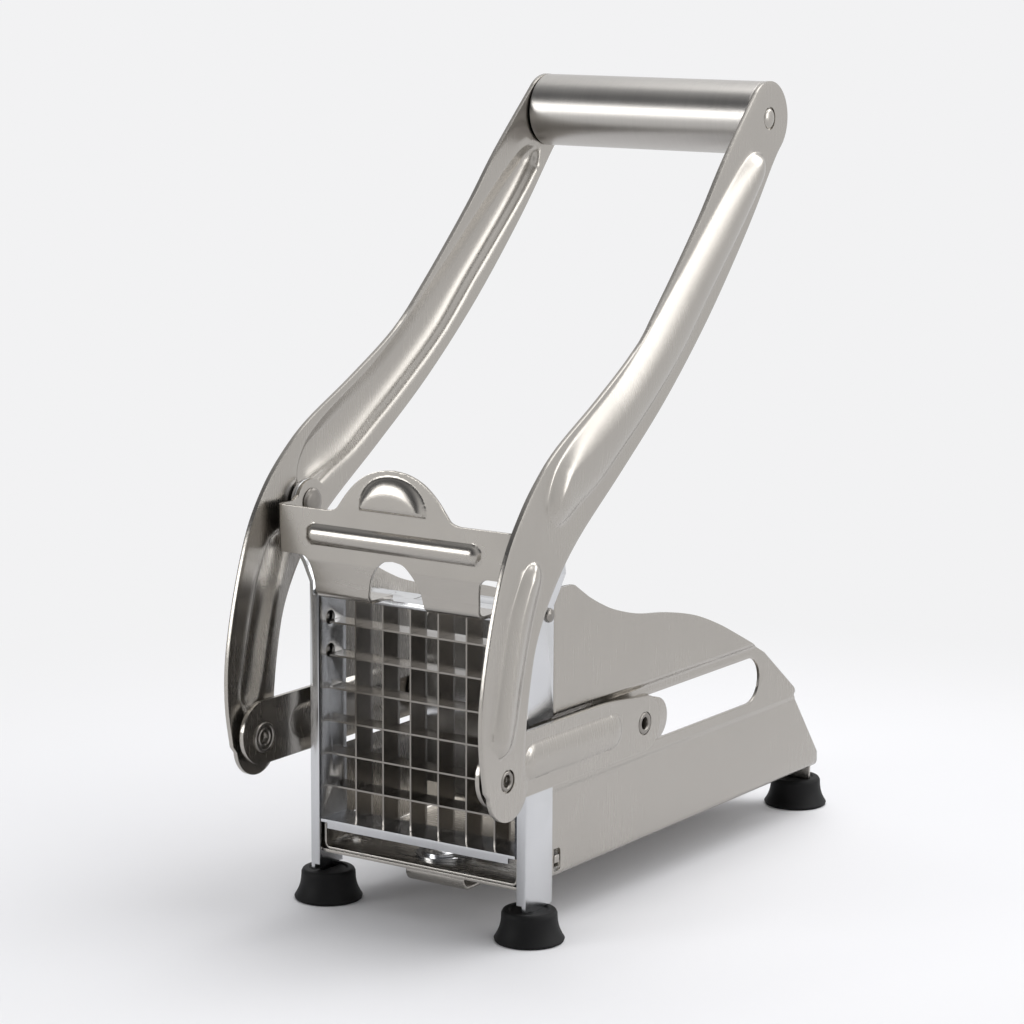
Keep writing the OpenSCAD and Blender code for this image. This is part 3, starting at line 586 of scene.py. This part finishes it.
# ---- Clamp plate ----
# One blank of 1.2 mm sheet, folded back at both sides to its ears. A thumb tab with a half-moon
# dimple stands on it, a ridge stiffens it, and two hooked legs under it hold the cartridge.
clamp_half, clamp_front, clamp_sheet, clamp_corner = 46.15, -12.5, 1.2, 2.2
band_low, band_high, ear_front, ear_radius = 119.3, 134.7, -10.3, 7.5
shoulder_z, hook_z, hook_radius = 118.0, 105.4, 3.5
moon = {"half": 13, "low": 136.1, "high": 147.8, "height": 2.3, "rise": 1.6, "fall": 6.5, "end": 2.2}
ridge = {"half": 33.8, "wide": 3.3, "z": 126.4, "height": 2.0}


def moon_height(x, z):
    """Height of the half-moon dimple, steepest at its straight lower edge."""
    top = moon["low"] + (moon["high"] - moon["low"]) * max(0.0, 1 - abs(x / moon["half"]) ** 2.2) ** 0.5
    if not moon["low"] < z < top:
        return 0.0
    rise = min(1, (z - moon["low"]) / moon["rise"])
    fall = min(1, (top - z) / moon["fall"])
    side = min(1, (moon["half"] - abs(x)) / moon["end"])
    height = moon["height"] * (1 - (1 - rise) ** 2) ** 0.5
    return height * (1 - (1 - fall) ** 2) ** 0.8 * (1 - (1 - side) ** 2) ** 0.7


def ridge_height(x, z):
    """Height of the ridge across the plate, which ends in quarter balls."""
    past = max(0.0, abs(x) - (ridge["half"] - ridge["wide"]))
    reach = math.hypot(past, z - ridge["z"]) / ridge["wide"]
    return ridge["height"] * (1 - reach**2) ** 0.62 if reach < 1 else 0.0


# Seen from above, the blank runs from the left ear round the front to the right ear. Seen from the
# side, it comes down from the tab to the legs, which slope back and end in level hooks.
bow_line = (
    [(-clamp_half, 13.0 - k * 0.9) for k in range(26)]
    + bow((-clamp_half + clamp_corner, clamp_front + clamp_corner), clamp_corner, 180, 270, 9)
    + [(-43.5 + k * 0.6, clamp_front) for k in range(146)]
    + bow((clamp_half - clamp_corner, clamp_front + clamp_corner), clamp_corner, 270, 360, 9)
    + [(clamp_half, -9.5 + k * 0.9) for k in range(26)]
)
leg_line = (
    [(0, z / 10) for z in range(1500, 1180, -5)] + [(0, shoulder_z)]
    + even([(0, shoulder_z), (1.5, 110.5)], 12)[1:]
    + bow((5.1, 108.9), hook_radius, 198, 270, 9) + even([(5.1, hook_z), (15.1, hook_z)], 8)[1:]
)
clamp_rows = []
for back, z in leg_line:
    row = []
    for x, y in bow_line:
        flat = y < clamp_front + 0.01
        out = moon_height(x, z) + ridge_height(x, z) if flat else 0.0
        row.append((x, y + back - out, z))
    clamp_rows.append(row)
clamp = skin("thumb_clamp", clamp_rows)
in_edit(clamp, outward)
thicken(clamp, clamp_sheet)
tab_edge = glide([
    (0, 149.8), (5.5, 149.1), (10.6, 147.2), (14.5, 144.5), (17.8, 141.2), (20.3, 138), (22.4, 135.6),
    (25.5, band_high),
])
arch_edge = glide([
    (11, 104), (10.6, 109), (9.6, 113), (8.3, 115.6), (6.5, 118.1), (3.8, 120.2), (0, 120.9),
])
leg_edge = glide([(36.6, band_low), (35.2, 119), (33.7, 118), (32.7, 116), (31.9, 111), (31.4, 104)])
above = tab_edge + [(60, band_high), (60, 160), (-60, 160), (-60, band_high)]
above += [(-x, z) for x, z in reversed(tab_edge[1:])]
below = [(-x, z) for x, z in arch_edge] + arch_edge[-2::-1]
beside = leg_edge + [(31.4, 90), (60, 90), (60, band_low)]
ear_side = [
    (ear_front, band_low), (-6, band_low + 0.4), *bow(fulcrum, ear_radius, -60, 165, 24),
    (-2.6, 136.2), (-5, band_high), (ear_front, band_high),
]
face_side = [
    (-30, 90), (ear_front, 90), (8, 90), (8, 118.9), (ear_front, 118.9), (ear_front, 160), (-30, 160),
]
cut(clamp, prism(above, "Y", -30, -10))
cut(clamp, prism(below, "Y", -30, 30))
for side in (1, -1):
    cut(clamp, prism([(side * x, z) for x, z in beside], "Y", -30, 60))
kept_block = prism(ear_side, "X", -past_side, past_side)
cut(kept_block, prism(face_side, "X", -past_side, past_side), "UNION")
cut(clamp, kept_block, "INTERSECT")
bore(clamp, fulcrum, 3.1, -past_side)
finish_edges(clamp, 0.25)
dress(clamp, "clamp_plate", "clamp")


# ---- Turned pieces ----
# The handle is a steel tube between the arms, held by a rivet at each end. Hollow rivets, rings and
# pins join arms, links and pusher, and four rubber feet carry the cutter. Each is a profile turned
# about its own axis.
def turned(name, profile, y, z, sides=64, upright_x=None):
    """A profile of (place along the axis, radius) points turned about X, or about Z at upright_x."""
    rows = []
    for k in range(sides + 1):
        a = 2 * math.pi * k / sides
        if upright_x is None:
            rows.append([(p, y + r * math.cos(a), z + r * math.sin(a)) for p, r in profile])
        else:
            rows.append([(upright_x + r * math.cos(a), y + r * math.sin(a), z + p) for p, r in profile])
    piece = skin(name, rows)
    in_edit(piece, lambda: bpy.ops.mesh.dissolve_degenerate(threshold=1e-6), outward)
    return piece


def both_sides(piece):
    """Joins a piece with its mirror copy."""
    twin = other_side(piece, "twin")
    pick(piece)
    twin.select_set(True)
    bpy.ops.object.join()
    return bpy.context.object


def rim(place, inner, outer, height):
    """A rolled rim on a face at a place along the axis, from its outer radius to its inner one."""
    middle, half = (inner + outer) / 2, (outer - inner) / 2
    turns = [math.pi * k / 8 for k in range(9)]
    return [(place + height * math.sin(a), middle + half * math.cos(a)) for a in turns]


handle_half, handle_radius, tube_edge, tube_bore = 43.85, 12.4, 12.1, 11.4
handle_y, handle_z = lever_point(handle_reach, 0)
tube = turned("grip_tube", [
    (-handle_half, tube_bore), (-handle_half, tube_edge), (-handle_half + 0.3, handle_radius),
    *[(-42 + 84 * k / 24, handle_radius) for k in range(25)],
    (handle_half - 0.3, handle_radius), (handle_half, tube_edge), (handle_half, tube_bore),
    (-handle_half, tube_bore),
], handle_y, handle_z, 128)
finish_edges(tube, 0.1)
dress(tube, "handle_tube", "lever")

face = handle_half + sheet
dome_radius, dome_height = 3.35, 1.1
dome = [
    (face - 0.1 + dome_height * math.sin(a), dome_radius * math.cos(a))
    for a in (math.radians(degrees) for degrees in range(8, 91, 8))
]
handle_rivet = turned("grip_rivets", [
    (handle_half - 3.3, 0), (handle_half - 3.3, 4), (handle_half - 2.31, 4.4), (handle_half - 2.31, 2.5),
    (face - 0.5, 2.5), (face - 0.5, 3.1), (face - 0.2, dome_radius), *dome, (face + 1, 0),
], handle_y, handle_z)
finish_edges(handle_rivet, 0.08)
dress(both_sides(handle_rivet), "handle_rivets", "lever", sheet_steel)

eyelet_y, eyelet_z = lever_point(*eyelet_at)
arm_out, eyelet_back, eyelet_seat = arm_in + sheet, arm_in - 0.4, arm_in - 0.02
eyelet_hole, eyelet_barrel, eyelet_flange, eyelet_head = 1.8, 2.55, 4.3, 3.25
arm_eyelet = turned("arm_rivets", [
    (eyelet_back, eyelet_hole), (eyelet_back, eyelet_flange), (eyelet_seat, eyelet_flange),
    (eyelet_seat, eyelet_barrel), (arm_out - 0.85, eyelet_barrel), (arm_out - 0.85, eyelet_head),
    *rim(arm_out - 0.6, 1.9, eyelet_head, 0.62), (arm_out - 1.2, 1.75), (eyelet_back, eyelet_hole),
], eyelet_y, eyelet_z)
finish_edges(arm_eyelet, 0.06)
dress(both_sides(arm_eyelet), "arm_eyelets", "lever", rivet_steel)

link_ring = turned("link_rings", [(link_in - depth, radius) for depth, radius in (
    (0.02, 2.58), (0.02, 5.0), (0.35, 5.0), (0.75, 4.7), (0.75, 4.2), (0.4, 3.95), (0.4, 3.2),
    (0.72, 2.9), (0.72, 2.5), (0.4, 2.15), (-sheet, 2.1), (-sheet, 2.58), (0.02, 2.58),
)], *link_front)
finish_edges(link_ring, 0.06)
dress(both_sides(link_ring), "link_eyelets", "links", rivet_steel)

pusher_half, pusher_wall = 39.15, 1.5
pusher_in, link_out = pusher_half - pusher_wall, link_in + sheet
stud_back, stud_seat = pusher_in - 0.9, pusher_in - 0.02
stud_hole, stud_barrel, stud_head = 1.8, 2.88, 3.65
link_stud = turned("link_studs", [
    (stud_back, stud_hole), (stud_back, 3.3), (stud_seat, 3.4), (stud_seat, stud_barrel),
    (link_out - 0.55, stud_barrel), (link_out - 0.55, 3.55), (link_out - 0.2, stud_head),
    *rim(link_out - 0.2, 2.0, stud_head, 0.44), (link_out - 0.9, stud_hole), (stud_back, stud_hole),
], *link_pin)
finish_edges(link_stud, 0.06)
dress(both_sides(link_stud), "link_pins", "pusher", rivet_steel)

head = clamp_half - clamp_sheet - 0.1
collar = arm_in - (5 - arm_bend) * math.sin(arm_lean) - 0.02
pin_radius, collar_radius, collar_in, pin_end = 2.95, 5, 47.95, arm_in + 0.89
fulcrum_pin = turned("pivot_pins", [
    (head - 1.1, 0), (head - 1.08, 1.6), (head - 0.9, 3.2), (head - 0.55, 4.3), (head - 0.2, 4.6),
    (head, 4.6), (head, pin_radius), (collar_in, pin_radius), (collar_in, collar_radius),
    (collar, collar_radius), (collar, 2.99), (pin_end, 2.99), (pin_end, 0),
], *fulcrum)
finish_edges(fulcrum_pin, 0.08)
dress(both_sides(fulcrum_pin), "fulcrum_pins", "base", rivet_steel)

foot_height, foot_base, foot_top = 10.4, 11.35, 8.8
foot_profile = (
    [(2.2, 0), (1.1, foot_base - 3.4), (0, foot_base - 2.6), (0, foot_base - 0.8)]
    + [(0.25, foot_base - 0.25), (1, foot_base)]
    + [
        (
            1 + (foot_height - 2.2) * k / 20,
            foot_top + 0.2 + (foot_base - foot_top - 0.2) * (1 - k / 20) ** 2.4,
        )
        for k in range(1, 21)
    ]
    + [(z, r) for r, z in bow((foot_top - 1, foot_height - 1), 1, 15, 90, 7)]
    + [(foot_height, foot_top - 2.2), (foot_height - 0.5, foot_top - 2.8), (foot_height - 0.5, 0)]
)
# Each foot has a blind slot for the end of its post or tongue: its middle in x and y, its width
# and its depth.
tongue_x, slot_bottom, above_foot = 28.9, 3.3, 12
for node, x, y, slot in (
    ("foot_front", 40.15, 6, (40.9, 7.5, 1.7, 8.2)),
    ("foot_rear", tongue_x, 198, (tongue_x, 197.6, 12.2, 1.2)),
):
    foot = turned(node, foot_profile, y, 0, 72, x)
    slot_x, slot_y, slot_wide, slot_deep = slot
    near, far = slot_y - slot_deep / 2, slot_y + slot_deep / 2
    corners = [(near, slot_bottom), (far, slot_bottom), (far, above_foot), (near, above_foot)]
    cut(foot, prism(corners, "X", slot_x - slot_wide / 2, slot_x + slot_wide / 2))
    finish_edges(foot, 0.2)
    dress_pair(foot, node, "base")


# ---- Trough ----
# One folded sheet, 1 mm thick. Above a shallow crease the walls stand out into the slotted bands,
# and above a second crease into the wings, whose top edge falls in a wave to the back. Two tongues
# bent down from the floor carry the rear feet.
trough_sheet, floor_z, trough_length = 1.0, 17.0, 192.6
wall_out, band_out, wing_out, fold = 40.6, 41.1, 42.5, 2.5
wall_front, wing_start, wing_peak = 1.7, 15.4, 112.4
crease_z, crease_rise, wing_z, wing_rise = 45.4, 1.6, 69.7, 2.6


def eased(value):
    """0 below 0, 1 above 1 and a smooth step between."""
    value = min(max(value, 0), 1)
    return value * value * (3 - 2 * value)


def wall_line(winged):
    """x and z of the outside of the right half, from the middle of the floor to the wall's top."""
    heights = [19.5 + k * 3.7 for k in range(1, 7)] + [44.4 + k * 0.4 for k in range(9)]
    heights += [50 + k * 4 for k in range(5)] + [68.5 + k * 0.4 for k in range(13)]
    heights += [76 + k * 4 for k in range(11)]
    line = [(k * 4.0, floor_z) for k in range(10)]
    line += bow((wall_out - fold, floor_z + fold), fold, -90, 0, 9)
    for z in heights:
        band = (band_out - wall_out) * eased((z - crease_z) / crease_rise)
        wing = winged * (wing_out - band_out) * eased((z - wing_z) / wing_rise)
        line.append((wall_out + band + wing, z))
    return line


trough_rows = []
for y in [wall_front, 5, 10, 15.3, 15.6, 15.9, 16.2, 16.5] + [17 + k * 4.5 for k in range(40)]:
    right = wall_line(eased(y - wing_start))
    trough_rows.append([(-x, y, z) for x, z in reversed(right[1:])] + [(x, y, z) for x, z in right])
trough = skin("folded_trough", trough_rows)
thicken(trough, -trough_sheet)
wave = glide([
    (151.7, 67), (143, 71.4), (130.6, 77.4), (117.1, 83.6), (101.2, 89.4), (83.3, 93.4), (65.9, 96),
    (51.3, 99.9), (42.2, 103.6), (35.9, 106.7),
])
side = (
    [(wall_front, 0), (trough_length - 0.1, 0)] + bow((trough_length - 1.6, floor_z + 2.6), 3, -60, 37, 9)
    + [(174.6, 46.2), (173.5, 47.2), (173.6, 47.8), (174.4, 48.6), (174.2, 49.4), (173.4, 50.4)] + wave
    + bow((25.3, wing_peak - 5), 5, 62, 90, 7)
    + [(wing_start - 0.1, wing_peak), (wing_start - 0.1, 108.4), (wall_front, 108.4)]
)
cut(trough, prism(side, "X", -past_side, past_side), "INTERSECT", "MANIFOLD")
slot_z, slot_radius = 58.7, 8.1
side_slot = bow((140.4, slot_z), slot_radius, -90, 90, 25)
side_slot += bow((15.1, slot_z), slot_radius, 90, 270, 25)
cut(trough, prism(side_slot, "X", -past_side, past_side), solver="MANIFOLD")
window = (
    bow((20, 20.2), 1, 180, 270, 4) + bow((22, 20.2), 1, 270, 360, 4)
    + bow((21.6, 25.4), 1.4, 0, 90, 5) + [(19, 26.8)]
)
for sign in (1, -1):
    cut(trough, prism(window, "X", sign * 38, sign * 44), solver="MANIFOLD")
drop = [(y, floor_z) for y in (188, 191, 195)] + bow((195.1, 15), 2, 90, 0, 7)
drop += [(197.1, z) for z in (12, 8, 3.4)]
for sign in (1, -1):
    tongue_rows = [[(sign * (tongue_x + across), y, z) for y, z in drop] for across in (-6, -2, 2, 6)]
    tongue = skin("tongue", tongue_rows)
    thicken(tongue, sign * trough_sheet)
    cut(trough, tongue, "UNION", "MANIFOLD")
finish_edges(trough, 0.2)
dress(trough, "trough", "base")


# ---- Pieces as built ----
# Steel posts, channel, cartridge, blades, clip, pusher and their small rivets keep the form of their
# solids. Each is merged into clean faces, and most get the broken edges of pressed sheet.
def refined(node, body, width, finish=None):
    """A clean copy of a solid, its sharp edges broken by a width in millimetres if it isn't 0."""
    source = frame["nodes"][node]
    piece = bpy.data.objects.new(node + "_finished", source.data.copy())
    piece.data.transform(source.matrix_world)
    bpy.context.scene.collection.objects.link(piece)
    in_edit(piece, merge(0.005), lambda: bpy.ops.mesh.dissolve_limited(angle_limit=0.01), outward)
    if width:
        finish_edges(piece, width, 40)
    else:
        pick(piece)
        bpy.ops.object.shade_smooth_by_angle(angle=math.radians(30))
    dress(piece, node, body, finish)


for node, body, width in (
    ("post_left", "base", 0.3), ("post_right", "base", 0.3), ("base_channel", "base", 0.2),
    ("base_clip", "base", 0.25), ("cartridge_frame", "base", 0.12), ("pusher_plate", "pusher", 0.2),
    ("pusher_runners", "pusher", 0.2), ("vertical_blades", "base", 0), ("horizontal_blades", "base", 0),
    ("handle_plugs", "lever", 0), ("clip_rivet", "base", 0), ("frame_rivets", "base", 0),
):
    refined(node, body, width, rivet_steel if node.endswith("rivets") else None)
